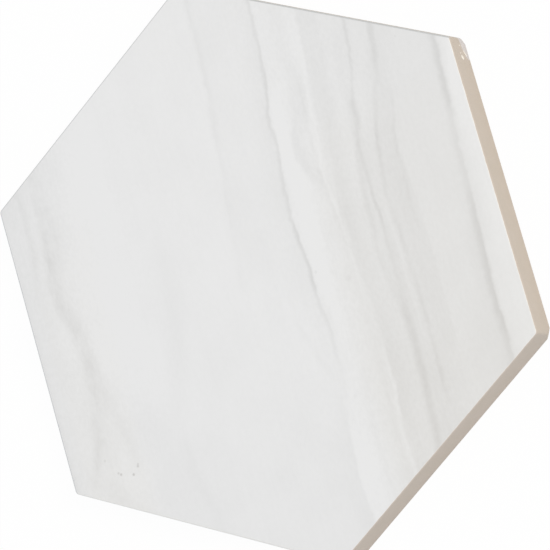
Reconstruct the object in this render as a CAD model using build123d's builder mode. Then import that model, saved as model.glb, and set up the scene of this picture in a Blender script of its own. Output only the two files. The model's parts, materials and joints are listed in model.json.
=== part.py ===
"""A pressed porcelain floor tile: a regular hexagon with drafted sides and a keyed back.

The tile lies flat with its glazed face up. The origin is the centre of the back, +Z points out of the
face, and two of the six corners lie on the X axis. Sizes are in millimetres and degrees.
"""

import os
from math import cos, radians, sin, tan

from build123d import *

# Outline and thickness
side_count = 6
across_flats = 150.0  # between opposite sides, at the face
thickness = 10.0  # from the ribs of the back to the face

# Sides and edges
side_draft = 2.5  # lean of each side, out towards the back, so that the tile leaves its die
corner_radius = 1.2  # rounding of the upright corners
arris_radius = 0.5  # rounding between the face and the sides, where the glaze rolls over
back_ease = 0.3  # chamfer along the foot of the sides
corner_clip_leg = 2.1  # length that a clipped back corner takes off each of its two back edges
corner_clip_rise = 2.2  # height that the clip reaches up the corner

# Keyed back: a honeycomb of shallow pockets that the adhesive bed grips, in rings round a plain field
key_depth = 0.7  # from the ribs to the pocket floors
key_rib = 3.0  # rib between two pockets, at the back
key_border = 8.5  # plain border between the outermost pockets and the foot of the sides
key_draft = 30.0  # lean of the pocket walls
key_corner_radius = 2.0  # rounding of the pocket corners
key_ring_first = 2  # the cells of ring 0 and ring 1 stay plain
key_ring_last = 4

# Sizes that follow from the ones above
half_turn = 180 / side_count
half_cos = cos(radians(half_turn))
side_flare = thickness * tan(radians(side_draft))
foot_inradius = across_flats / 2 + side_flare
foot_corner = foot_inradius / half_cos

# The outermost row's pockets point their corners at the border, which sets the honeycomb's pitch
key_space = foot_inradius - key_border
key_pitch = (key_space + key_rib / (2 * half_cos)) / (key_ring_last * half_cos + 1 / (2 * half_cos))
key_pocket = key_pitch - key_rib

# Pocket centres: rows along X, each row shifted by half a pitch from the one before
key_places = []
for row in range(-key_ring_last, key_ring_last + 1):
    for column in range(-key_ring_last, key_ring_last + 1):
        ring = max(abs(row), abs(column), abs(row + column))
        if key_ring_first <= ring <= key_ring_last:
            key_places.append((key_pitch * (column + row / 2), key_pitch * half_cos * row))

# One pocket of the keyed back, narrowing into the tile
with BuildPart() as pocket:
    with BuildSketch():
        RegularPolygon(key_pocket / 2, side_count, major_radius=False, rotation=half_turn)
    extrude(amount=key_depth)
    draft(pocket.faces().filter_by(Axis.Z, reverse=True), Plane.XY, key_draft)
    fillet(pocket.edges().filter_by(Plane.XY, reverse=True), key_corner_radius)

# The wedge that a clipped back corner loses: its slanted face runs from the back up to the corner
clip_foot = foot_corner - corner_clip_leg * sin(radians(half_turn))
clip_top = foot_corner - corner_clip_rise * tan(radians(side_draft)) / half_cos
with BuildPart() as clip_wedge:
    with BuildSketch(Plane.XZ):
        with BuildLine():
            Polyline(
                (clip_foot, 0),
                (clip_top, corner_clip_rise),
                (foot_corner + corner_clip_leg, 0),
                close=True,
            )
        make_face()
    extrude(amount=2 * corner_clip_leg, both=True)

# The tile
with BuildPart() as hexagon_tile:
    # Block under the face's outline, its sides drafted from the face down and its upright corners rounded
    face_plane = Plane.XY.offset(thickness)
    with BuildSketch(face_plane):
        RegularPolygon(across_flats / 2, side_count, major_radius=False)
    extrude(amount=-thickness)
    draft(hexagon_tile.faces().filter_by(Axis.Z, reverse=True), face_plane, side_draft)
    fillet(hexagon_tile.edges().filter_by(Plane.XY, reverse=True), corner_radius)

    # Arris at the face, eased foot and clipped corners at the back
    fillet(hexagon_tile.faces().sort_by(Axis.Z)[-1].edges(), arris_radius)
    chamfer(hexagon_tile.faces().sort_by(Axis.Z)[0].edges(), back_ease)
    with PolarLocations(0, side_count):
        add(clip_wedge.part, mode=Mode.SUBTRACT)

    # Keyed back
    with Locations(*key_places):
        add(pocket.part, mode=Mode.SUBTRACT)

hexagon_tile.part.label = "hexagon_tile"

os.makedirs("parts", exist_ok=True)
export_step(hexagon_tile.part, "parts/hexagon_tile.step")
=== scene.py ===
# %% [markdown]
# # A hexagonal porcelain tile with a marble-look glaze
#
# The real tile is pressed from powder and fired once, so it is one hard piece with two finishes: a smooth
# satin glaze printed like white marble on its face, and the bare beige body on its sides and back.
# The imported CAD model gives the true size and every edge, so this lesson starts from it and adds the looks.

# %% Load the frame
import json
from collections import namedtuple
from math import radians, tan

import bmesh
import bpy
from mathutils import Euler, Matrix, Vector, noise


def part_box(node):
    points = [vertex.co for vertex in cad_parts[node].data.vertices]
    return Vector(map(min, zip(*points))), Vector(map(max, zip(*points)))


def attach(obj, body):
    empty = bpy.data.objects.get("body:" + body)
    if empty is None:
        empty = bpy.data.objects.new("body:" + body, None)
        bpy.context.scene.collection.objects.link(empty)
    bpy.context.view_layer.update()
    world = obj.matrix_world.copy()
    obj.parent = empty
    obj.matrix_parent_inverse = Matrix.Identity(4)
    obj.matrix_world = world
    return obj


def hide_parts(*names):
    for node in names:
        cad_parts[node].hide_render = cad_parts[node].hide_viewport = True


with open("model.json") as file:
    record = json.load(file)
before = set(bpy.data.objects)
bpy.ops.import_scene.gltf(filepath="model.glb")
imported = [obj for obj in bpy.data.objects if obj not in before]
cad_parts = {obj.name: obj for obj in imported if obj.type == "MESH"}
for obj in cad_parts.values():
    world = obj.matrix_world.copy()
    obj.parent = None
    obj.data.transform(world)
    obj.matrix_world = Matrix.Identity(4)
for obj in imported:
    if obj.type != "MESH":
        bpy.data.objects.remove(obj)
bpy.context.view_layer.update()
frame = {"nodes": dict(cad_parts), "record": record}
MM = 0.001
back_level, face_level = (corner.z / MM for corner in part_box("hexagon_tile"))
print(f"The tile stands from {back_level:.2f} mm to {face_level:.2f} mm")

# %% [markdown]
# ## The sides
#
# The record describes a mount on each side: a point in the middle of the side and the direction it faces.
# Three unit vectors are enough to place anything on a side: along its length, up its height and straight
# out. The names give the direction that each side faces, in degrees from the X axis.

# %% Read the sides from the record
Side = namedtuple("Side", "middle length_way up_way out_way")
UP = Vector((0, 0, 1))
sides = {}
for mount in frame["record"]["mounts"]:
    if mount["name"].startswith("side_"):
        out_way = Vector(mount["axis"])
        length_way = UP.cross(out_way).normalized()
        middle = Vector(mount["pos_m"]) / MM
        sides[mount["name"]] = Side(middle, length_way, out_way.cross(length_way), out_way)
print(f"The record names {len(sides)} sides: {', '.join(sides)}")

# %% [markdown]
# ## The camera
#
# A long lens from about a metre away looks steeply down on the face, and the picture is turned so that
# two bare sides show at the right. The distance and the lens come from fitting the six corners of the
# real tile: a long lens keeps opposite sides nearly parallel.

# %% Place the camera
view_azimuth = radians(6.12)
view_elevation = radians(64.51)
view_distance = 1014.4
view_roll = radians(-84.11)
aim = Vector((5.37, -0.30, face_level))

camera_data = bpy.data.cameras.new("photo_camera")
camera_data.sensor_width = 36.0
camera_data.lens = 234.54
camera = bpy.data.objects.new("photo_camera", camera_data)
bpy.context.scene.collection.objects.link(camera)
bpy.context.scene.camera = camera

to_camera = Euler((0, -view_elevation, view_azimuth)).to_matrix() @ Vector((1, 0, 0))
camera_turn = (-to_camera).to_track_quat("-Z", "Y").to_matrix() @ Matrix.Rotation(view_roll, 3, "Z")
camera.matrix_world = Matrix.Translation((aim + to_camera * view_distance) * MM) @ camera_turn.to_4x4()
print("The camera stands at", [round(value, 4) for value in camera.matrix_world.translation], "m")

# %% [markdown]
# ## Three small helpers for materials
#
# Colours are written as the hex values that a picture editor shows, and Blender's shaders want linear
# light, so one function converts them. A second function adds any node: it sets the node's options, then
# its sockets, by name or by number, from values or from other nodes, and hands back the output to use.
# A third starts an empty material with one surface shader, so that each finish is a single clean shader.

# %% Helpers for colours and nodes
def linear(hex_colour):
    """Turns an sRGB hex colour into linear red, green, blue and alpha."""
    channels = [int(hex_colour[i:i + 2], 16) / 255 for i in (1, 3, 5)]
    return [c / 12.92 if c <= 0.04045 else ((c + 0.055) / 1.055) ** 2.4 for c in channels] + [1.0]


def add_node(tree, kind, sockets, points=(), output=None, **settings):
    """Adds a node, fills its sockets and its curve, and returns its output."""
    node = tree.nodes.new(kind)
    for setting, value in settings.items():
        setattr(node, setting, value)
    if points:
        node.mapping.extend = "HORIZONTAL"
        curve = node.mapping.curves[0]
        while len(curve.points) < len(points):
            curve.points.new(0.5, 0.5)
        for point, location in zip(curve.points, sorted(points)):
            point.location = location
        node.mapping.update()
    shown = [socket for socket in node.inputs if socket.enabled]
    for key, value in sockets.items():
        socket = shown[key] if isinstance(key, int) else next(s for s in shown if s.name == key)
        if isinstance(value, bpy.types.NodeSocket):
            tree.links.new(value, socket)
        else:
            socket.default_value = value
    outputs = [socket for socket in node.outputs if socket.enabled]
    return node.outputs[output] if output else outputs[0]


def new_material(name):
    """Makes an empty node material and its one surface shader."""
    material = bpy.data.materials.new(name)
    material.use_nodes = True
    tree = material.node_tree
    tree.nodes.clear()
    surface = add_node(tree, "ShaderNodeBsdfPrincipled", {}).node
    material_output = tree.nodes.new("ShaderNodeOutputMaterial")
    tree.links.new(surface.outputs[0], material_output.inputs["Surface"])
    return material, tree, surface


WHITE = linear("#FFFFFF")
print("White is", [round(value, 3) for value in WHITE])

# %% [markdown]
# ## The marble print: its own coordinates
#
# Marble veins follow the bedding of the stone, so on this tile they nearly all run one way, parallel to
# the side that faces 30 degrees. Turning the object coordinates by that angle gives two handy numbers in
# millimetres: `across` the veins and `along` them. A little noise bends `across`, as real stone does.

# %% Marble coordinates
glaze, marble, glaze_surface = new_material("satin_marble_glaze")
VEIN_TURN = radians(30)
MILLIMETRES = (1 / MM, 1 / MM, 1 / MM)

tile_place = add_node(marble, "ShaderNodeTexCoord", {}, output="Object")
grain = add_node(marble, "ShaderNodeMapping",
                 {"Vector": tile_place, "Rotation": (0, 0, -VEIN_TURN), "Scale": MILLIMETRES})
across = add_node(marble, "ShaderNodeSeparateXYZ", {"Vector": grain}, output="X")
along = across.node.outputs["Y"]
height = across.node.outputs["Z"]

WAVER_SIZE = 12.0
WAVER_REACH = 0.8
FRAY_SIZE = 2.2
FRAY_REACH = 1.1
bent = across
for size, reach in ((WAVER_SIZE, WAVER_REACH), (FRAY_SIZE, FRAY_REACH)):
    wave = add_node(marble, "ShaderNodeTexNoise", {"Vector": grain, "Scale": 1 / size, "Detail": 1.0})
    centred = add_node(marble, "ShaderNodeMath", {0: wave, 1: 0.5}, operation="SUBTRACT")
    bent = add_node(marble, "ShaderNodeMath", {0: centred, 1: reach, 2: bent}, operation="MULTIPLY_ADD")
print(f"The veins waver by up to {WAVER_REACH / 2} mm and fray by up to {FRAY_REACH / 2} mm")

# %% [markdown]
# ## The marble print: bands of tone
#
# Across the veins the stone changes in broad bands: pale in the middle, grey-beige at the right and along
# the left edge. A Float Curve is the natural tool, a graph drawn from distance to darkness.
# Curves run from 0 to 1, so both coordinates are first scaled from a span in millimetres that covers the
# whole face. The bands lean a little towards the top, so a second curve straightens them first.

# %% Bands of tone
SPAN = 180.0


def share(millimetres):
    """The place of a millimetre coordinate on a curve that covers the whole face."""
    return millimetres / SPAN + 0.5


def spread(points):
    """Curve points from pairs of a millimetre coordinate and a strength."""
    return [(share(where), strength) for where, strength in points]


def route(points):
    """Curve points from pairs of millimetre coordinates, along and across the veins."""
    return [(share(where), share(offset)) for where, offset in points]


across_share, along_share = [
    add_node(marble, "ShaderNodeMath", {0: coordinate, 1: 1 / SPAN, 2: 0.5}, operation="MULTIPLY_ADD")
    for coordinate in (bent, along)]

lean = add_node(marble, "ShaderNodeFloatCurve", {"Value": along_share},
                points=route([(-80, 0), (0, 0), (25, 2), (55, 7), (80, 9)]))
upright = add_node(marble, "ShaderNodeMath", {0: across_share, 1: lean}, operation="SUBTRACT")
upright = add_node(marble, "ShaderNodeMath", {0: upright, 1: 0.5}, operation="ADD")

band_tone = add_node(marble, "ShaderNodeFloatCurve", {"Value": upright}, points=spread([
    (-76, 0.18), (-70, 0.12), (-66, 0.10), (-62, 0.11), (-58, 0.06), (-54, 0.01), (-45, 0.0), (-30, 0.05),
    (-10, 0.05), (6, 0.07), (13, 0.09), (17, 0.07), (23, 0.09), (27, 0.15), (29, 0.19), (31, 0.24),
    (35, 0.22), (40, 0.28), (47, 0.30), (53, 0.24), (59, 0.24), (66, 0.24), (68.5, 0.18), (70, 0.08),
    (76, 0.07)]))
level_tone = add_node(marble, "ShaderNodeFloatCurve", {"Value": along_share},
                      points=spread([(-80, 0.05), (-50, 0.03), (-30, 0.0), (80, 0.0)]))
shade = add_node(marble, "ShaderNodeMath", {0: band_tone, 1: level_tone}, operation="ADD")
print(f"The bands are one curve across the veins and one along them, each {SPAN} mm long")

# %% [markdown]
# ## The marble print: how a vein is drawn
#
# A vein is a thin dark line that fades to both sides, or a pale one. Each is given by the route of its
# centre, as pairs of millimetres along and across, by its strength at some places along the route, and by
# how far it fades to the left and to the right. The route is a Float Curve again, so the line stays sharp
# at any scale, which a painted texture would not. A coarse noise breaks some of the veins up, because
# mineral veins come and go.

# %% Tools for veins
BREAK_ACROSS = 2.5
BREAK_ALONG = 6.0
NOISE_LOW = 0.3
NOISE_HIGH = 0.65
FAINTEST = 0.35
STRONGEST = 1.15
stretch = add_node(marble, "ShaderNodeMapping",
                   {"Vector": grain, "Scale": (1 / BREAK_ACROSS, 1 / BREAK_ALONG, 0)})
breaks = add_node(marble, "ShaderNodeTexNoise", {"Vector": stretch, "Scale": 1.0, "Detail": 3.0})
breaks = add_node(marble, "ShaderNodeMapRange",
                  {"Value": breaks, "From Min": NOISE_LOW, "From Max": NOISE_HIGH,
                   "To Min": FAINTEST, "To Max": STRONGEST})


def add_vein(shade, path, strength, left, right, amount, broken=False):
    """Adds one vein to the shade. A negative amount makes a pale vein."""
    centre = add_node(marble, "ShaderNodeFloatCurve", {"Value": along_share}, points=route(path))
    offset = add_node(marble, "ShaderNodeMath", {0: across_share, 1: centre}, operation="SUBTRACT")
    rise = add_node(marble, "ShaderNodeMapRange",
                    {"Value": offset, "From Min": -left / SPAN, "From Max": 0.0, "To Max": amount},
                    interpolation_type="SMOOTHSTEP")
    fall = add_node(marble, "ShaderNodeMapRange",
                    {"Value": offset, "From Min": right / SPAN, "From Max": 0.0},
                    interpolation_type="SMOOTHSTEP")
    profile = add_node(marble, "ShaderNodeMath", {0: rise, 1: fall}, operation="MULTIPLY")
    force = add_node(marble, "ShaderNodeFloatCurve", {"Value": along_share}, points=spread(strength))
    if broken:
        force = add_node(marble, "ShaderNodeMath", {0: force, 1: breaks}, operation="MULTIPLY")
    return add_node(marble, "ShaderNodeMath", {0: profile, 1: force, 2: shade}, operation="MULTIPLY_ADD")


def add_veins(shade, veins):
    """Adds a group of veins to the shade, one after the other."""
    for vein in veins.values():
        shade = add_vein(shade, **vein)
    return shade


print(f"A broken vein comes and goes every {BREAK_ALONG} mm or so")

# %% [markdown]
# ## The marble print: the main crack
#
# The sharpest line of the print runs down right of the middle: a crack that filled with dark mineral. It
# has a soft shade on its left, and on its right a pale lens of clean stone with a grey wedge beside it.
# One route serves the crack and its shade, so that they stay together.

# %% The main crack
crack_path = [(74, 19.6), (62, 19), (50, 18.1), (45, 17.3), (40, 16), (35, 16.1), (30, 16), (25, 15.2),
              (20, 14.7), (15, 14.4), (10, 14.1), (5, 14.3), (0, 14.7), (-5, 15.5), (-10, 15.1),
              (-18, 15.7), (-23, 16.3), (-30, 15.9)]
crack_veins = {
    "main crack": dict(
        left=1.3, right=0.9, amount=0.4,
        path=crack_path,
        strength=[(80, 0.44), (70, 0.52), (60, 0.5), (50, 0.7), (45, 0.64), (40, 0.58), (25, 0.56),
                  (20, 0.62), (15, 0.52), (10, 0.56), (5, 0.92), (0, 0.75), (-5, 1), (-10, 0.95),
                  (-14, 0.5), (-28, 0.4), (-34, 0)]),
    "shade left of the main crack": dict(
        left=9.0, right=0.4, amount=0.075,
        path=crack_path,
        strength=[(80, 1), (10, 1), (-6, 0.6), (-16, 0)]),
    "pale lens beside the main crack": dict(
        left=3.0, right=4.6, amount=-0.17,
        path=[(48, 20.5), (40, 18.6), (30, 18), (20, 18.2), (10, 18.5), (0, 18.5), (-10, 18.5),
              (-20, 19.5)],
        strength=[(60, 0.1), (52, 0.15), (46, 0.6), (30, 0.9), (16, 1), (-8, 0.9), (-16, 0.6), (-30, 0.2),
                  (-40, 0)]),
    "grey wedge beside the lens": dict(
        left=1.9, right=5.5, amount=0.17,
        path=[(44, 25), (38, 24.2), (34, 22.2), (30, 21), (26, 21.3), (22, 22.8), (16, 25.5)],
        strength=[(50, 0), (42, 0.5), (34, 0.85), (30, 1), (24, 1), (18, 0.7), (10, 0)]),
    "shade at the top, right of the crack": dict(
        left=3.5, right=4.0, amount=0.08,
        path=[(70, 26), (54, 26), (46, 27.5), (38, 28)],
        strength=[(74, 0.8), (54, 1), (40, 0.5), (34, 0)]),
}
shade = add_veins(shade, crack_veins)
print(f"The crack is drawn with {len(crack_veins)} veins")

# %% [markdown]
# ## The marble print: the grey zone
#
# Right of the lens the stone turns grey. The zone starts with a pale line and a dark one side by side, and
# two veins run down through it, fork and thicken. Each of them is drawn in several parts, thin dark ones
# and wide soft ones, because one profile can't be both crisp and cloudy.

# %% Start of the grey zone
zone_start_veins = {
    "pale line before the grey zone": dict(
        left=1.2, right=1.1, amount=-0.1, broken=True,
        path=[(65, 31.3), (50, 30.8), (40, 29.4), (30, 28.4), (20, 27.3), (12, 27.9), (5, 29), (-10, 28.9),
              (-20, 28.6)],
        strength=[(70, 0.3), (52, 0.6), (40, 1), (0, 1), (-16, 0.3), (-24, 0)]),
    "dark line before the pale one": dict(
        left=1.2, right=0.8, amount=0.1, broken=True,
        path=[(45, 27.9), (35, 26.9), (25, 26.4), (15, 26.8), (5, 27.8)],
        strength=[(48, 0), (36, 1), (5, 0.8), (-5, 0)]),
    "start of the grey zone": dict(
        left=1.0, right=6.5, amount=0.12,
        path=[(62, 33), (54, 32.2), (46, 31.6), (38, 31), (30, 30), (14, 29.7), (-2, 29.4), (-10, 30),
              (-18, 31), (-42, 31.3), (-50, 30.5), (-60, 30.8)],
        strength=[(66, 0.75), (54, 1), (46, 0.75), (38, 0.5), (30, 0.5), (22, 0.55), (14, 0.8), (-2, 0.9),
                  (-10, 0.6), (-18, 0.5), (-26, 0.7), (-34, 0.95), (-50, 0.95), (-56, 0.5), (-64, 0.2)]),
}
shade = add_veins(shade, zone_start_veins)
print(f"The grey zone starts with {len(zone_start_veins)} veins")

# %% Left of the grey zone
left_grey_veins = {
    "left grey vein": dict(
        left=1.8, right=1.8, amount=0.27,
        path=[(58, 46.6), (52, 45.5), (47, 45), (42, 43.8), (36, 41.9), (30, 41.8), (26, 40.3), (20, 38.8),
              (10, 37.8), (0, 37.4), (-6, 36.8), (-14, 37.5), (-20, 38.3), (-26, 39.2)],
        strength=[(60, 0.15), (45, 0.1), (40, 0.15), (35, 0.85), (32, 0.9), (25, 0.5), (20, 0.6),
                  (14, 0.55), (8, 0.7), (0, 0.65), (-6, 0.4), (-26, 0.25), (-30, 0)]),
    "thin top of the left grey vein": dict(
        left=1.0, right=0.9, amount=0.27,
        path=[(58, 46.4), (52, 45.4), (47, 44.8), (42, 43.7), (36, 42)],
        strength=[(60, 0.8), (50, 0.75), (45, 0.5), (40, 0.4), (35, 0)]),
    "knot in the left grey vein": dict(
        left=3.2, right=2.2, amount=0.09,
        path=[(40, 42.6), (35, 41.4), (28, 40.8), (22, 40.6)],
        strength=[(40, 0), (36, 1), (28, 0.9), (24, 0.6), (16, 0.3), (12, 0)]),
    "pale strip left of the left grey vein": dict(
        left=4.0, right=3.0, amount=-0.1,
        path=[(60, 40.2), (52, 39.4), (46, 38.6), (40, 38.4), (34, 38)],
        strength=[(64, 0.7), (52, 0.75), (46, 1), (40, 0.6), (33, 0.5), (28, 0)]),
    "middle grey vein": dict(
        left=1.0, right=1.0, amount=0.26,
        path=[(24, 40.3), (10, 40), (5, 40.3), (0, 40.4), (-8, 40.2), (-18, 40.3), (-26, 39.7)],
        strength=[(26, 0), (20, 0.6), (12, 0.75), (5, 1), (0, 0.7), (-6, 0.5), (-12, 0.4), (-18, 0.25),
                  (-24, 0)]),
    "lower grey vein": dict(
        left=2.3, right=2.1, amount=0.25,
        path=[(20, 40.2), (-18, 40.3), (-26, 39.6), (-36, 39.9), (-40, 39.7), (-48, 39.1), (-64, 37.9)],
        strength=[(20, 0.15), (-12, 0.1), (-20, 0.2), (-25, 0.66), (-30, 0.84), (-36, 0.98), (-46, 0.95),
                  (-52, 0.9), (-60, 0.95)]),
}
shade = add_veins(shade, left_grey_veins)
print(f"The left of the grey zone has {len(left_grey_veins)} veins")

# %% Right of the grey zone
right_grey_veins = {
    "right grey vein": dict(
        left=1.6, right=1.8, amount=0.26,
        path=[(57, 53.5), (50, 52.5), (45, 51.9), (40, 50.7), (35, 48.8), (30, 47.7), (25, 46.3),
              (20, 45.5), (15, 44.8), (10, 44.3), (5, 43.9), (0, 44.6), (-8, 44.5), (-16, 45), (-28, 45),
              (-36, 45), (-46, 44.7)],
        strength=[(58, 1), (50, 1), (45, 0.95), (40, 0.3), (35, 0.4), (28, 0.35), (20, 0.2), (10, 0)]),
    "lower right grey vein": dict(
        left=1.0, right=1.2, amount=0.26,
        path=[(32, 48.2), (25, 46.2), (20, 45.4), (15, 44.7), (10, 44.1), (5, 43.8), (0, 44.4), (-8, 44.6),
              (-16, 44.8), (-28, 45), (-36, 44.9), (-46, 44.4)],
        strength=[(34, 0), (28, 0.3), (20, 0.65), (15, 0.55), (10, 0.45), (5, 0.3), (0, 0.5), (-5, 0.55),
                  (-10, 0.35), (-16, 0.25), (-25, 0.65), (-34, 0.4), (-42, 0.65), (-50, 0.4), (-56, 0)]),
    "pale field between the upper grey veins": dict(
        left=7.0, right=7.0, amount=-0.095,
        path=[(58, 49.5), (50, 48.5), (40, 45.5), (30, 44)],
        strength=[(62, 0.6), (50, 0.8), (38, 1), (31, 0.9), (26, 0.25), (22, 0)]),
    "darkest band": dict(
        left=7.5, right=1.0, amount=0.09,
        path=[(38, 55), (30, 53), (20, 51), (10, 51.3), (0, 51.8), (-15, 51.9), (-30, 51.6)],
        strength=[(36, 0), (28, 0.2), (20, 0.9), (-30, 1), (-40, 0)]),
    "edge of the darkest band": dict(
        left=0.9, right=1.0, amount=0.12, broken=True,
        path=[(35, 53.6), (30, 53), (25, 51.7), (20, 50.8), (10, 50.5), (5, 50), (0, 50.3), (-10, 50.7)],
        strength=[(38, 0), (28, 0.8), (20, 1), (10, 1), (2, 0.8), (-14, 0)]),
    "pale line between the grey veins": dict(
        left=1.5, right=1.4, amount=-0.085,
        path=[(22, 42.8), (10, 42.4), (0, 42.7), (-15, 43), (-30, 42.8)],
        strength=[(16, 0), (8, 0.5), (0, 0.9), (-5, 1), (-26, 1), (-36, 0.2), (-40, 0)]),
    "soft shade right of the darkest band": dict(
        left=9.0, right=9.0, amount=0.05,
        path=[(28, 59), (0, 59)],
        strength=[(30, 0), (20, 0.7), (12, 1), (4, 0.3), (-4, 0)]),
    "soft shade at the lower right": dict(
        left=5.0, right=5.0, amount=0.07,
        path=[(-28, 59), (-48, 59)],
        strength=[(-24, 0), (-32, 0.4), (-38, 1), (-44, 0.5), (-50, 0)]),
}
shade = add_veins(shade, right_grey_veins)
print(f"The right of the grey zone has {len(right_grey_veins)} veins")

# %% [markdown]
# ## The marble print: the right edge
#
# Near the right edge one strong vein parts the grey field from a pale strip. Its shade reaches much further
# to the left than to the right, so the shade is a soft vein of its own on the same route.

# %% The right edge
right_path = [(47, 70.5), (42, 70.5), (36, 70), (30, 69.7), (25, 69.6), (20, 69), (15, 68.5), (10, 68.3),
              (5, 68), (0, 67.8), (-5, 67.5), (-15, 67), (-20, 66.8), (-25, 66.4), (-35, 66.4), (-46, 66.2)]
right_edge_veins = {
    "right dark vein": dict(
        left=2.4, right=1.2, amount=0.36,
        path=right_path,
        strength=[(48, 0.7), (42, 0.9), (30, 1), (25, 0.8), (20, 0.4), (15, 0.5), (5, 0.5), (0, 0.78),
                  (-5, 0.88), (-12, 0.78), (-20, 0.8), (-28, 0.84), (-36, 0.88), (-41, 0.62), (-46, 0.42)]),
    "shade left of the right vein": dict(
        left=6.0, right=0.6, amount=0.15,
        path=right_path,
        strength=[(48, 0.15), (28, 0.2), (20, 0.4), (10, 0.4), (2, 0.3), (-8, 0.75), (-15, 0.9),
                  (-32, 0.75), (-46, 0.9)]),
    "pale strip at the right edge": dict(
        left=1.2, right=6.0, amount=-0.1,
        path=[(47, 72.8), (36, 72), (25, 71.4), (12, 70.6)],
        strength=[(48, 1), (30, 0.7), (16, 0.2), (8, 0)]),
    "grey patch at the right edge": dict(
        left=1.6, right=4.2, amount=0.12,
        path=[(26, 70.9), (12, 69.9), (4, 69.6), (-10, 69), (-25, 69.3), (-46, 69)],
        strength=[(28, 0), (21, 0.6), (4, 0.7), (-2, 1), (-8, 1), (-16, 0.6), (-24, 0.4), (-46, 0.4)]),
}
shade = add_veins(shade, right_edge_veins)
print(f"The right edge has {len(right_edge_veins)} veins")

# %% [markdown]
# ## The marble print: the left brown vein
#
# Along the left edge a brownish vein wanders more than the others and breaks into patches. A narrow part
# and its halo follow one route, short strands leave it at both ends, and wide faint veins serve as the
# soft shades in the corners of the face.

# %% The left brown vein
left_path = [(42, -61.9), (35, -62), (28, -62.7), (21, -64), (15, -64.9), (10, -64.3), (5, -62.5),
             (0, -61.3), (-6, -60.5), (-14, -60.6), (-22, -60.8), (-26, -62.5), (-32, -63.8)]
left_veins = {
    "left brown vein": dict(
        left=2.5, right=5.2, amount=0.19, broken=True,
        path=left_path,
        strength=[(44, 0.5), (36, 0.9), (26, 1), (18, 0.85), (10, 0.8), (4, 0.9), (0, 1), (-8, 1),
                  (-14, 0.8), (-20, 0.7), (-26, 0.4), (-32, 0.25), (-36, 0)]),
    "halo of the left brown vein": dict(
        left=3.5, right=7.0, amount=0.08, broken=True,
        path=left_path,
        strength=[(46, 0.5), (30, 0.9), (12, 1), (-14, 1), (-26, 0.6), (-36, 0)]),
    "right branch of the left brown vein": dict(
        left=3.4, right=3.2, amount=0.11,
        path=[(-12, -57.5), (-20, -56.3), (-26, -55.6), (-32, -54.5), (-38, -53.5)],
        strength=[(-4, 0), (-12, 0.4), (-20, 0.8), (-26, 1), (-32, 0.8), (-38, 0.8), (-44, 0)]),
    "upper left strand": dict(
        left=1.4, right=2.0, amount=0.13,
        path=[(46, -68.4), (40, -67.5), (34, -67.8), (28, -67.9), (20, -69.5)],
        strength=[(50, 0), (44, 1), (28, 0.9), (20, 0.4), (14, 0)]),
    "lower left strand": dict(
        left=2.0, right=3.0, amount=0.22, broken=True,
        path=[(-26, -63.5), (-32, -64.3), (-37, -66), (-42, -68.3)],
        strength=[(-22, 0), (-30, 0.5), (-36, 1), (-40, 0.75), (-45, 0)]),
}
shade = add_veins(shade, left_veins)
print(f"The left brown vein is drawn with {len(left_veins)} veins")

# %% Shades at the left
left_shades = {
    "shade of the upper left corner": dict(
        left=7.0, right=4.0, amount=0.07,
        path=[(48, -69), (0, -69)],
        strength=[(48, 0.7), (16, 0.8), (-2, 0.8), (-8, 0.5), (-16, 0)]),
    "shade along the left edge": dict(
        left=1.0, right=3.2, amount=0.2,
        path=[(48, -75.6), (-48, -75.6)],
        strength=[(48, 0.45), (10, 0.55), (-2, 0.75), (-14, 0.85), (-20, 1), (-48, 0.9)]),
    "beige patch at the upper left": dict(
        left=4.0, right=5.0, amount=0.055,
        path=[(44, -65), (24, -64.5)],
        strength=[(46, 0.8), (40, 1), (28, 1), (22, 0.3), (16, 0)]),
    "lower left patch": dict(
        left=16.0, right=13.0, amount=0.13,
        path=[(-12, -52), (-20, -48), (-32, -47), (-44, -44), (-60, -42)],
        strength=[(-10, 0), (-16, 0.2), (-20, 0.4), (-26, 0.7), (-32, 1), (-38, 0.9), (-44, 0.7),
                  (-66, 0.6)]),
    "shade of the lower left corner": dict(
        left=6.0, right=6.0, amount=0.08,
        path=[(-42, -66), (-50, -60), (-58, -52)],
        strength=[(-40, 0), (-46, 0.7), (-52, 1), (-60, 0.6)]),
}
shade = add_veins(shade, left_shades)
print(f"The left has {len(left_shades)} soft shades")

# %% [markdown]
# ## The marble print: the pale field and the bottom
#
# The pale field has only faint marks: a fine line with a shade on its right, and wide soft bands. Towards
# the bottom, where the crack has died out, pale strips and grey steps take its place.

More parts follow.
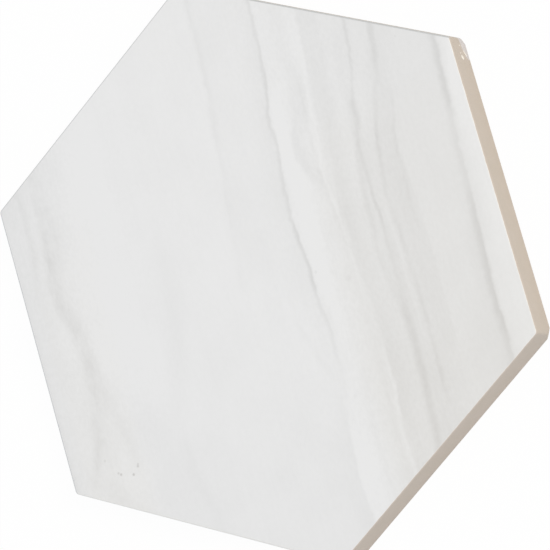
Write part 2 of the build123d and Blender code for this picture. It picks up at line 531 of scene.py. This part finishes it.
# %% The pale field
middle_path = [(82, 1), (72, 0.8), (65, 0.4), (55, 0.1), (50, -0.8), (45, -1.2), (40, -1.9), (30, -2.7),
               (20, -3.9), (10, -5), (-4, -6.4)]
pale_field_veins = {
    "soft band left of the middle": dict(
        left=6.5, right=5.5, amount=0.08,
        path=[(24, -27), (8, -28), (0, -28.5), (-10, -30.5), (-20, -33.5), (-30, -37)],
        strength=[(30, 0), (16, 0.7), (0, 1), (-12, 1), (-24, 0.7), (-40, 0)]),
    "soft band at the upper left": dict(
        left=5.0, right=6.0, amount=0.045,
        path=[(66, -34), (52, -35), (40, -36), (28, -35), (16, -30)],
        strength=[(70, 1), (30, 0.9), (16, 0.4), (8, 0)]),
    "soft patch in the middle": dict(
        left=7.0, right=7.0, amount=0.055,
        path=[(12, 2), (-4, 2)],
        strength=[(12, 0), (5, 1), (0, 0.6), (-6, 0)]),
    "middle line": dict(
        left=1.7, right=2.4, amount=0.12, broken=True,
        path=middle_path,
        strength=[(84, 1), (44, 0.9), (36, 0.6), (20, 0.4), (0, 0.25), (-6, 0)]),
    "shade right of the middle line": dict(
        left=0.5, right=17.0, amount=0.055,
        path=middle_path,
        strength=[(84, 0.9), (50, 1), (30, 0.9), (0, 0.2), (-10, 0)]),
    "small wisp": dict(
        left=1.5, right=2.1, amount=0.075, broken=True,
        path=[(-18, 6.8), (-24, 8.6), (-29, 10.3), (-36, 12.8)],
        strength=[(-16, 0), (-21, 1), (-33, 1), (-38, 0)]),
}
shade = add_veins(shade, pale_field_veins)
print(f"The pale field has {len(pale_field_veins)} veins")

# %% The bottom
bottom_veins = {
    "soft band at the bottom": dict(
        left=3.5, right=3.0, amount=0.06,
        path=[(-40, -37), (-50, -36), (-62, -33)],
        strength=[(-38, 0), (-46, 1), (-64, 1)]),
    "edge of the lower pale strip": dict(
        left=7.0, right=0.6, amount=0.05,
        path=[(-44, 13.8), (-52, 12.9), (-60, 12.4), (-80, 12.8)],
        strength=[(-40, 0), (-54, 1), (-80, 1)]),
    "lower pale strip": dict(
        left=1.2, right=11.0, amount=-0.14,
        path=[(-36, 17), (-46, 15.4), (-52, 14.2), (-60, 13.6), (-80, 14)],
        strength=[(-32, 0), (-50, 0.7), (-60, 1), (-80, 1)]),
    "streak right of the pale strip": dict(
        left=1.2, right=1.5, amount=0.06, broken=True,
        path=[(-46, 20.5), (-58, 20.5), (-72, 21.5)],
        strength=[(-44, 0), (-52, 1), (-72, 1)]),
    "lower pale line": dict(
        left=1.2, right=1.2, amount=-0.14,
        path=[(-34, 29.9), (-45, 29.8), (-55, 28.7), (-66, 29.1)],
        strength=[(-32, 0), (-40, 0.9), (-66, 1)]),
    "shade left of the lower pale line": dict(
        left=2.0, right=0.8, amount=0.05,
        path=[(-34, 28), (-45, 27.6), (-56, 27)],
        strength=[(-30, 0), (-38, 1), (-58, 1)]),
    "pale field at the bottom": dict(
        left=11.0, right=6.0, amount=-0.08,
        path=[(-18, 8), (-30, 10.5), (-45, 10)],
        strength=[(-10, 0), (-24, 0.8), (-32, 0.8), (-42, 1), (-48, 0.8), (-56, 0)]),
    "grey step at the bottom": dict(
        left=4.0, right=4.5, amount=0.08,
        path=[(-36, 24), (-42, 21.5), (-48, 23)],
        strength=[(-36, 0), (-41, 1), (-46, 0.6), (-54, 0)]),
    "lower right shade": dict(
        left=13.0, right=9.0, amount=0.03,
        path=[(0, 43), (-30, 42), (-60, 40)],
        strength=[(0, 0), (-20, 0.6), (-40, 1), (-66, 1)]),
}
shade = add_veins(shade, bottom_veins)
print(f"The bottom has {len(bottom_veins)} veins")

# %% [markdown]
# ## The marble print: streaks, clouds and specks
#
# Between the veins the print has fine streaks along the bedding, soft clouds, a mottling of small flecks,
# and a handful of dark specks, most of them near the lower left corner. Stretched noise makes the streaks
# and flecks, plain noise the clouds, and the distance to a few chosen points the specks. The mottling is
# strongest in the grey zone and along the left edge. The real flecks are finer, and are drawn coarse enough
# to show.

# %% Streaks, clouds and flecks
STREAK_WIDTH = 2.6
STREAK_LENGTH = 24.0
STREAK_FORCE = 0.08
CLOUD_SIZE = 14.0
CLOUD_FORCE = 0.18
FLECK_WIDTH = 1.0
FLECK_LENGTH = 1.8

stretched = add_node(marble, "ShaderNodeMapping",
                     {"Vector": grain, "Scale": (1 / STREAK_WIDTH, 1 / STREAK_LENGTH, 0)})
streaks = add_node(marble, "ShaderNodeTexNoise", {"Vector": stretched, "Scale": 1.0, "Detail": 3.0})
clouds = add_node(marble, "ShaderNodeTexNoise", {"Vector": grain, "Scale": 1 / CLOUD_SIZE, "Detail": 5.0})
flecked = add_node(marble, "ShaderNodeMapping",
                   {"Vector": grain, "Scale": (1 / FLECK_WIDTH, 1 / FLECK_LENGTH, 0)})
flecks = add_node(marble, "ShaderNodeTexNoise", {"Vector": flecked, "Scale": 1.0, "Detail": 3.0})
fleck_force = add_node(marble, "ShaderNodeFloatCurve", {"Value": across_share}, points=spread([
    (-76, 0.26), (-54, 0.26), (-46, 0.16), (10, 0.16), (18, 0.26), (52, 0.25), (58, 0.17), (76, 0.17)]))
for pattern, force in ((streaks, STREAK_FORCE), (clouds, CLOUD_FORCE), (flecks, fleck_force)):
    centred = add_node(marble, "ShaderNodeMath", {0: pattern, 1: 0.5}, operation="SUBTRACT")
    shade = add_node(marble, "ShaderNodeMath", {0: centred, 1: force, 2: shade}, operation="MULTIPLY_ADD")
print(f"Streaks are {STREAK_WIDTH} mm wide, clouds {CLOUD_SIZE} mm and flecks {FLECK_WIDTH} mm")

# %% Specks
# Each speck: along, across, radius and darkness
specks = [
    (-37.0, -63.1, 0.60, 0.3), (-41.7, -59.9, 0.55, 0.5), (-42.3, -59.2, 0.60, 0.75),
    (-43.5, -55.3, 0.62, 0.8), (-41.6, -53.3, 0.58, 0.65), (-41.0, -53.1, 0.50, 0.45),
    (-6.2, 16.8, 0.70, 0.2), (-11.0, 25.7, 1.30, 0.14), (-43.0, 18.0, 0.90, 0.10),
    (-20.5, -60.5, 0.90, 0.08), (8.5, -61.3, 0.70, 0.08), (49.0, 59.6, 0.50, 0.10),
]
SPECK_CORE = 0.25
for speck_along, speck_across, radius, darkness in specks:
    speck_centre = (speck_across, speck_along, face_level)
    gap = add_node(marble, "ShaderNodeVectorMath", {0: grain, 1: speck_centre}, operation="DISTANCE",
                   output="Value")
    spot = add_node(marble, "ShaderNodeMapRange",
                    {"Value": gap, "From Min": radius, "From Max": radius * SPECK_CORE, "To Max": darkness},
                    interpolation_type="SMOOTHSTEP")
    shade = add_node(marble, "ShaderNodeMath", {0: spot, 1: shade}, operation="ADD")
print(f"{len(specks)} specks, the smallest {2 * min(speck[2] for speck in specks)} mm wide")

# %% [markdown]
# ## The satin glaze: colours of the print
#
# The eye sees a cool white ground whose veins turn from neutral grey at the left to olive-beige at the
# right and towards the bottom. Two pairs of colours are enough: a ground and a vein, each in a neutral and
# a warm version. One curve across the veins and one along them say how warm a place is.

# %% Colours of the print
GROUND = linear("#EAEAEA")
WARM_GROUND = linear("#EAE9E6")
VEIN = linear("#C6C6C5")
WARM_VEIN = linear("#C6C2BC")

warm_across = add_node(marble, "ShaderNodeFloatCurve", {"Value": upright}, points=spread([
    (-76, 0.1), (-71, 0.4), (-66, 0.8), (-58, 0.8), (-51, 0.5), (-44, 0.0), (10, 0.0), (24, 0.7), (30, 1.0),
    (68, 1.0), (76, 1.0)]))
warm_along = add_node(marble, "ShaderNodeFloatCurve", {"Value": along_share}, points=spread([
    (-70, 0.52), (-45, 0.52), (-30, 0.42), (0, 0.32), (25, 0.22), (45, 0.02), (70, 0)]))
warmth = add_node(marble, "ShaderNodeMath", {0: warm_across, 1: warm_along}, operation="MULTIPLY")

ground = add_node(marble, "ShaderNodeMix", {"Factor": warmth, "A": GROUND, "B": WARM_GROUND},
                  data_type="RGBA")
dark = add_node(marble, "ShaderNodeMix", {"Factor": warmth, "A": VEIN, "B": WARM_VEIN},
                data_type="RGBA")
print_colour = add_node(marble, "ShaderNodeMix", {"Factor": shade, "A": ground, "B": dark},
                        data_type="RGBA")
print("The ground is", [round(value, 2) for value in GROUND[:3]], "in linear light")

# %% [markdown]
# ## The satin glaze: where the film ends
#
# Part of the way round the rounded edge the film thins to cream and runs out in an uneven line, so the rest
# of the edge has the body's colour. The sides differ a little: along the one that faces 90 degrees the rim is
# painted grey as shade, along the next two it is painted a lighter shade, and along the one that faces 270
# degrees the glaze runs on over the edge. Height gives the first kind of change, the distance out from the
# tile's middle towards a side the second, and a chain of mixes lays one colour over the other.

# %% Where the film ends
THIN_GLAZE = linear("#E6E2DA")
BODY = linear("#C9BEB4")
# The colour on the rim of the edge that faces 90 degrees is painted shade, a grey darker than the face
PAINTED_SHADE_FAR_RIM = linear("#C1C2C2")
# The colour on the rims of the edges that face 150 and 210 degrees is painted shade, a lighter grey
PAINTED_SHADE_SIDE_RIM = linear("#D2D2D1")
OVERRUN_GLAZE = linear("#ECEAE5")

# Where each change starts and ends, in millimetres: heights, then distances out from the tile's middle
side_distance = sides["side_090"].middle.xy.length
THINNING = (face_level - 0.04, face_level - 0.09)
BARING = (face_level - 0.07, face_level - 0.12)
RIM = (side_distance - 0.70, side_distance - 0.56)
OVERRUN = (side_distance - 0.82, side_distance - 0.42)
OVERRUN_RISE = (side_distance - 1.22, side_distance - 0.72)
OVERRUN_DEPTH = 0.3
RIPPLE_SIZE = 1.5
RIPPLE_REACH = 0.10

ripple = add_node(marble, "ShaderNodeTexNoise", {"Vector": grain, "Scale": 1 / RIPPLE_SIZE, "Detail": 2.0})
centred = add_node(marble, "ShaderNodeMath", {0: ripple, 1: 0.5}, operation="SUBTRACT")
film = add_node(marble, "ShaderNodeMath", {0: centred, 1: RIPPLE_REACH, 2: height},
                operation="MULTIPLY_ADD")
outward = {}
for name in ("side_090", "side_150", "side_210", "side_270"):
    level_out = sides[name].out_way.xy.normalized().to_3d() / MM
    outward[name] = add_node(marble, "ShaderNodeVectorMath", {0: tile_place, 1: level_out},
                             operation="DOT_PRODUCT", output="Value")
overrun = add_node(marble, "ShaderNodeMapRange",
                   {"Value": outward["side_270"], "From Min": OVERRUN_RISE[0], "From Max": OVERRUN_RISE[1],
                    "To Max": OVERRUN_DEPTH})
film = add_node(marble, "ShaderNodeMath", {0: film, 1: overrun}, operation="ADD")

film_changes = {
    "thin film": (film, THINNING, THIN_GLAZE),
    "bare body": (film, BARING, BODY),
    # The three rims below are painted shade
    "worn rim": (outward["side_090"], RIM, PAINTED_SHADE_FAR_RIM),
    "upper dull rim": (outward["side_150"], RIM, PAINTED_SHADE_SIDE_RIM),
    "lower dull rim": (outward["side_210"], RIM, PAINTED_SHADE_SIDE_RIM),
    "overrun": (outward["side_270"], OVERRUN, OVERRUN_GLAZE),
}
glaze_colour = print_colour
film_end = {}
for name, (value, (start, stop), colour) in film_changes.items():
    film_end[name] = add_node(marble, "ShaderNodeMapRange",
                              {"Value": value, "From Min": start, "From Max": stop},
                              interpolation_type="SMOOTHSTEP")
    glaze_colour = add_node(marble, "ShaderNodeMix",
                            {"Factor": film_end[name], "A": glaze_colour, "B": colour}, data_type="RGBA")
marble.links.new(glaze_colour, glaze_surface.inputs["Base Color"])
print(f"The film changes in {len(film_end)} ways, the rims {side_distance - RIM[0]:.2f} mm in from a side")

# %% [markdown]
# ## The satin glaze: finish
#
# The glaze is a film of glass, printed before firing and left satin, so it has glass's IOR and a soft, wide
# highlight that the clouds vary a little. Where the film has gone, the edge is as rough as the bare body.
# A very faint bump follows the ripple, because a fired film is never quite flat.

# %% Glaze finish
GLASS_IOR = 1.5
SATIN_LOW = 0.34
SATIN_HIGH = 0.44
BODY_ROUGHNESS = 0.85
glaze_surface.inputs["IOR"].default_value = GLASS_IOR
satin = add_node(marble, "ShaderNodeMapRange", {"Value": clouds, "To Min": SATIN_LOW, "To Max": SATIN_HIGH})
# The far rim with painted shade also takes the body's roughness
bare = add_node(marble, "ShaderNodeMath", {0: film_end["bare body"], 1: film_end["worn rim"]},
                operation="MAXIMUM")
dulled = add_node(marble, "ShaderNodeMix", {"Factor": bare, "A": satin, "B": BODY_ROUGHNESS})
marble.links.new(dulled, glaze_surface.inputs["Roughness"])

FILM_RELIEF = 0.02
film_bump = add_node(marble, "ShaderNodeBump",
                     {"Height": ripple, "Strength": 0.02, "Distance": FILM_RELIEF * MM})
marble.links.new(film_bump, glaze_surface.inputs["Normal"])
print(f"The glaze uses {len(marble.nodes)} nodes")

# %% [markdown]
# ## The bare porcelain body
#
# Sides and back carry no glaze. The fired porcelain body is dense, chalky to the touch and even in colour,
# a warm beige with a fine grit and faint mottling from the pressed powder, so it is rough and shows no
# highlight. The grit is about 0.4 mm, drawn a little coarser than the real powder so that it shows.

# %% Body material
body, clay, clay_surface = new_material("bare_porcelain_body")
BODY_DARK = linear("#C4BAAE")
GRIT_SIZE = 0.4
GRIT_RELIEF = 0.05
MOTTLE_SIZE = 6.0
TONE_LOW = 0.05
TONE_HIGH = 0.45

clay_place = add_node(clay, "ShaderNodeTexCoord", {}, output="Object")
clay_mm = add_node(clay, "ShaderNodeMapping", {"Vector": clay_place, "Scale": MILLIMETRES})
grit = add_node(clay, "ShaderNodeTexNoise", {"Vector": clay_mm, "Scale": 1 / GRIT_SIZE, "Detail": 2.0})
mottle = add_node(clay, "ShaderNodeTexNoise", {"Vector": clay_mm, "Scale": 1 / MOTTLE_SIZE, "Detail": 3.0})
tone = add_node(clay, "ShaderNodeMath", {0: grit, 1: mottle}, operation="MULTIPLY")
tone = add_node(clay, "ShaderNodeMapRange", {"Value": tone, "From Min": TONE_LOW, "From Max": TONE_HIGH})
clay_colour = add_node(clay, "ShaderNodeMix", {"Factor": tone, "A": BODY_DARK, "B": BODY}, data_type="RGBA")

clay_surface.inputs["IOR"].default_value = GLASS_IOR
clay_surface.inputs["Roughness"].default_value = BODY_ROUGHNESS
clay_surface.inputs["Specular IOR Level"].default_value = 0.2
clay_bump = add_node(clay, "ShaderNodeBump",
                     {"Height": grit, "Strength": 0.3, "Distance": GRIT_RELIEF * MM})
clay.links.new(clay_bump, clay_surface.inputs["Normal"])
print(f"The body's grit is {GRIT_SIZE} mm")

# %% [markdown]
# ## The scuffed corner
#
# The foot of one corner is scuffed to a paler, cooler grey. The scuff is drawn as the distance from that
# corner, flattened so that it reaches further along the sides than up them, and two noises make its outline
# ragged. A mark in the material suits it, because a scuff takes off colour but hardly any body.

# %% Scuff the corner
SCUFF = linear("#D3CECD")
SCUFF_REACH = 6.6
SCUFF_RISE = 3.9
RAG_SIZE = 1.3
MOTTLE_RAG = 0.3
FINE_RAG = 0.7
# The scuff's outline, counted in its own reach with both noises added
SCUFF_OUTSIDE = 1.54
SCUFF_INSIDE = 1.44

scuffed_side = sides["side_030"]
half_side = scuffed_side.middle.xy.length * tan(radians(30))
knocked_corner = (scuffed_side.middle + scuffed_side.length_way * half_side
                  - scuffed_side.up_way * scuffed_side.middle.z)
from_corner = add_node(clay, "ShaderNodeVectorMath", {0: clay_mm, 1: knocked_corner}, operation="SUBTRACT")
flattened = add_node(clay, "ShaderNodeVectorMath",
                     {0: from_corner, 1: (1 / SCUFF_REACH, 1 / SCUFF_REACH, 1 / SCUFF_RISE)},
                     operation="MULTIPLY")
scuff_distance = add_node(clay, "ShaderNodeVectorMath", {0: flattened}, operation="LENGTH", output="Value")
rag = add_node(clay, "ShaderNodeTexNoise", {"Vector": clay_mm, "Scale": 1 / RAG_SIZE, "Detail": 2.0})
for pattern, force in ((mottle, MOTTLE_RAG), (rag, FINE_RAG)):
    scuff_distance = add_node(clay, "ShaderNodeMath", {0: pattern, 1: force, 2: scuff_distance},
                              operation="MULTIPLY_ADD")
scuffed = add_node(clay, "ShaderNodeMapRange",
                   {"Value": scuff_distance, "From Min": SCUFF_OUTSIDE, "From Max": SCUFF_INSIDE})
clay_colour = add_node(clay, "ShaderNodeMix", {"Factor": scuffed, "A": clay_colour, "B": SCUFF},
                       data_type="RGBA")
clay.links.new(clay_colour, clay_surface.inputs["Base Color"])
print("The scuffed corner is at", [round(value, 1) for value in knocked_corner], "mm")

# %% [markdown]
# ## Broken porcelain
#
# Where the side is nicked, the fresh break is paler than the fired skin, nearly white, and slightly
# sugary. It gets its own material, because a break has none of the skin's mottling.

# %% Broken porcelain material
broken_porcelain, break_tree, break_surface = new_material("broken_porcelain")
BREAK = linear("#F2EEE6")
BREAK_DARK = linear("#E2DED8")
SUGAR_SIZE = 0.5
break_place = add_node(break_tree, "ShaderNodeTexCoord", {}, output="Object")
break_mm = add_node(break_tree, "ShaderNodeMapping", {"Vector": break_place, "Scale": MILLIMETRES})
sugar = add_node(break_tree, "ShaderNodeTexNoise",
                 {"Vector": break_mm, "Scale": 1 / SUGAR_SIZE, "Detail": 2.0})
break_colour = add_node(break_tree, "ShaderNodeMix", {"Factor": sugar, "A": BREAK_DARK, "B": BREAK},
                        data_type="RGBA")
break_tree.links.new(break_colour, break_surface.inputs["Base Color"])
break_surface.inputs["IOR"].default_value = GLASS_IOR
break_surface.inputs["Roughness"].default_value = 0.7
print("The break is", [round(value, 2) for value in BREAK[:3]], "at its palest, in linear light")

# %% [markdown]
# ## The tile's mesh
#
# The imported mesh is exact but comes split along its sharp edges. A copy is merged back into one closed
# skin, and each face takes its finish from where it is: the flat face and the rounded edge are glazed, the
# rest is bare.

# %% Copy and dress the tile
GLAZED_DEPTH = 0.49
MERGE_GAP = 0.0001
tile_mesh = frame["nodes"]["hexagon_tile"].data.copy()
tile_mesh.name = "glazed_hexagon_tile"
tile_mesh.materials.clear()
for material in (glaze, body):
    tile_mesh.materials.append(material)

skin = bmesh.new()
skin.from_mesh(tile_mesh)
bmesh.ops.remove_doubles(skin, verts=skin.verts, dist=MERGE_GAP * MM)
for face in skin.faces:
    face.material_index = 0 if face.calc_center_median().z > (face_level - GLAZED_DEPTH) * MM else 1
    face.smooth = True
skin.to_mesh(tile_mesh)
skin.free()
tile = bpy.data.objects.new("glazed_hexagon_tile", tile_mesh)
bpy.context.scene.collection.objects.link(tile)
print(f"The tile has {len(tile_mesh.polygons)} faces")

# %% [markdown]
# ## Nicks
#
# A few small nicks sit beside the scuffed corner. Porcelain breaks in shallow shells, so a lumpy pebble
# held against the side and cut away by a Boolean leaves just such a scar, with a crisp rim. Noise on the
# pebble keeps the scars from looking machined.

# %% A pebble to nick with
PEBBLE_DETAIL = 4
LUMP_SIZE = 1.6
LUMP_FORCE = 0.12


def make_pebble(side, offset, level, radii, depth, turn):
    """A lumpy pebble that reaches a given depth into a side of the tile, in millimetres and degrees."""
    ball = bmesh.new()
    bmesh.ops.create_icosphere(ball, subdivisions=PEBBLE_DETAIL, radius=1.0)
    spin = Matrix.Rotation(radians(turn), 3, "Z")
    side_turn = Matrix((side.length_way, side.up_way, side.out_way)).transposed()
    centre = (side.middle + side.length_way * offset + side.up_way * (level - side.middle.z)
              + side.out_way * (radii[2] - depth))
    for vertex in ball.verts:
        point = Vector([value * radius for value, radius in zip(vertex.co, radii)])
        lump = noise.noise(point / LUMP_SIZE) * LUMP_FORCE * depth
        vertex.co = (centre + side_turn @ (spin @ (point + vertex.co * lump))) * MM
    mesh = bpy.data.meshes.new("pebble")
    ball.to_mesh(mesh)
    ball.free()
    mesh.materials.append(broken_porcelain)
    return bpy.data.objects.new("pebble", mesh)


print(f"A pebble's lumps are {LUMP_SIZE} mm wide")

# %% Nick the side
nicks = [
    dict(offset=37.6, level=4.8, radii=(0.97, 0.68, 0.6), depth=0.30, turn=50),
    dict(offset=38.9, level=5.3, radii=(0.25, 0.35, 0.4), depth=0.20, turn=0),
    dict(offset=41.2, level=4.5, radii=(0.25, 0.35, 0.4), depth=0.20, turn=0),
    dict(offset=39.0, level=2.4, radii=(1.30, 0.32, 0.4), depth=0.22, turn=43),
]
for nick in nicks:
    pebble = make_pebble(scuffed_side, **nick)
    bpy.context.scene.collection.objects.link(pebble)
    cut = tile.modifiers.new("nick", "BOOLEAN")
    cut.operation = "DIFFERENCE"
    cut.solver = "EXACT"
    cut.material_mode = "TRANSFER"
    cut.object = pebble
    graph = bpy.context.evaluated_depsgraph_get()
    nicked = bpy.data.meshes.new_from_object(tile.evaluated_get(graph))
    tile.modifiers.clear()
    tile.data = nicked
    bpy.data.objects.remove(pebble)
tile.data.name = "glazed_hexagon_tile"
print(f"{len(nicks)} nicks leave {len(tile.data.polygons)} faces and {len(tile.data.materials)} materials")

# %% [markdown]
# ## Clean shading
#
# Large flat faces meet small rounded ones, and plain smooth shading would bend light across the whole
# face. Creases stay sharp, and a Weighted Normal modifier lets the large faces keep their true direction.

# %% Shade the tile
CREASE = radians(28)
tile.data.set_sharp_from_angle(angle=CREASE)
weighting = tile.modifiers.new("flat_faces_first", "WEIGHTED_NORMAL")
weighting.mode = "FACE_AREA"
weighting.weight = 100
weighting.keep_sharp = True
print("Sharp edges:", sum(edge.use_edge_sharp for edge in tile.data.edges))

# %% [markdown]
# ## The floor
#
# The tile lies on a plain sheet of white paper. A floor that only reflects light would look grey round the
# tile, so rays that look at it, straight, in a gloss or through glass, see mostly a white glow. The little
# that is left of the real paper keeps a faint shadow, and the light that falls on the tile doesn't change.

# %% Floor
floor_material, floor_tree, floor_surface = new_material("white_paper_sweep")
floor_surface.inputs["Base Color"].default_value = linear("#F4F4F3")
floor_surface.inputs["Roughness"].default_value = 0.9
PAPER_GLOW = 0.965
FLOOR_GAP = 0.02
# The floor and the lamp are so large that their sizes are in metres
FLOOR_HALF = 4.0


def looked_at(tree):
    """A node value of 1 for rays that look at a thing, straight, by a mirror or through glass."""
    seen = add_node(tree, "ShaderNodeLightPath", {}, output="Is Camera Ray")
    light_path = seen.node
    for ray in ("Is Glossy Ray", "Is Transmission Ray"):
        seen = add_node(tree, "ShaderNodeMath", {0: seen, 1: light_path.outputs[ray]}, operation="MAXIMUM")
    return seen


paper_seen = looked_at(floor_tree)
glow = add_node(floor_tree, "ShaderNodeMath", {0: paper_seen, 1: PAPER_GLOW}, operation="MULTIPLY")
white = add_node(floor_tree, "ShaderNodeEmission", {"Color": WHITE, "Strength": 1.0})
paper = add_node(floor_tree, "ShaderNodeMixShader", {0: glow, 1: floor_surface.outputs[0], 2: white})
floor_output = next(node for node in floor_tree.nodes if node.type == "OUTPUT_MATERIAL")
floor_tree.links.new(paper, floor_output.inputs["Surface"])

floor_mesh = bpy.data.meshes.new("floor")
corners = [(-FLOOR_HALF, -FLOOR_HALF), (FLOOR_HALF, -FLOOR_HALF), (FLOOR_HALF, FLOOR_HALF),
           (-FLOOR_HALF, FLOOR_HALF)]
floor_mesh.from_pydata([(x, y, (back_level - FLOOR_GAP) * MM) for x, y in corners], [], [(0, 1, 2, 3)])
floor_mesh.materials.append(floor_material)
floor = bpy.data.objects.new("floor", floor_mesh)
bpy.context.scene.collection.objects.link(floor)
print(f"The floor is {2 * FLOOR_HALF} m wide")

# %% [markdown]
# ## World and lamp
#
# The world is an even fill, a little cool, and one large soft lamp, a little warm, stands to the right and
# above, so that the right side is lighter than the lower one. Together they light a flat face neutrally.
# Rays that look at the world see it white, as they do the floor.

# %% World
FILL = 0.780
FILL_TINT = linear("#EFF5FF")
world = bpy.data.worlds.new("white_studio")
bpy.context.scene.world = world
world.use_nodes = True
sky = world.node_tree
sky.nodes.clear()
sky_seen = looked_at(sky)
brightness = add_node(sky, "ShaderNodeMapRange", {"Value": sky_seen, "To Min": FILL, "To Max": 1.0})
tint = add_node(sky, "ShaderNodeMix", {"Factor": sky_seen, "A": FILL_TINT, "B": WHITE}, data_type="RGBA")
backdrop = add_node(sky, "ShaderNodeBackground", {"Color": tint, "Strength": brightness})
sky_output = sky.nodes.new("ShaderNodeOutputWorld")
sky.links.new(backdrop, sky_output.inputs["Surface"])
bpy.context.scene.view_settings.view_transform = "Standard"
print(f"The fill has a strength of {FILL}")

# %% Lamp
lamp_azimuth = radians(38)
lamp_elevation = radians(50)
lamp_distance = 2.5
lamp_data = bpy.data.lights.new("soft_lamp", "AREA")
lamp_data.shape = "DISK"
lamp_data.size = 1.6
lamp_data.energy = 27.0
lamp_data.color = linear("#FFF0D2")[:3]
lamp = bpy.data.objects.new("soft_lamp", lamp_data)
bpy.context.scene.collection.objects.link(lamp)
to_lamp = Euler((0, -lamp_elevation, lamp_azimuth)).to_matrix() @ Vector((1, 0, 0))
lamp_turn = to_lamp.to_track_quat("Z", "Y").to_matrix()
lamp.matrix_world = Matrix.Translation(to_lamp * lamp_distance) @ lamp_turn.to_4x4()
print("The lamp stands at", [round(value, 2) for value in lamp.matrix_world.translation], "m")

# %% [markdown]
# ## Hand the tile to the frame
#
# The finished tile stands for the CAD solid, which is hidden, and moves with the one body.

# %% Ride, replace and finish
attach(tile, "root")
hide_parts("hexagon_tile")
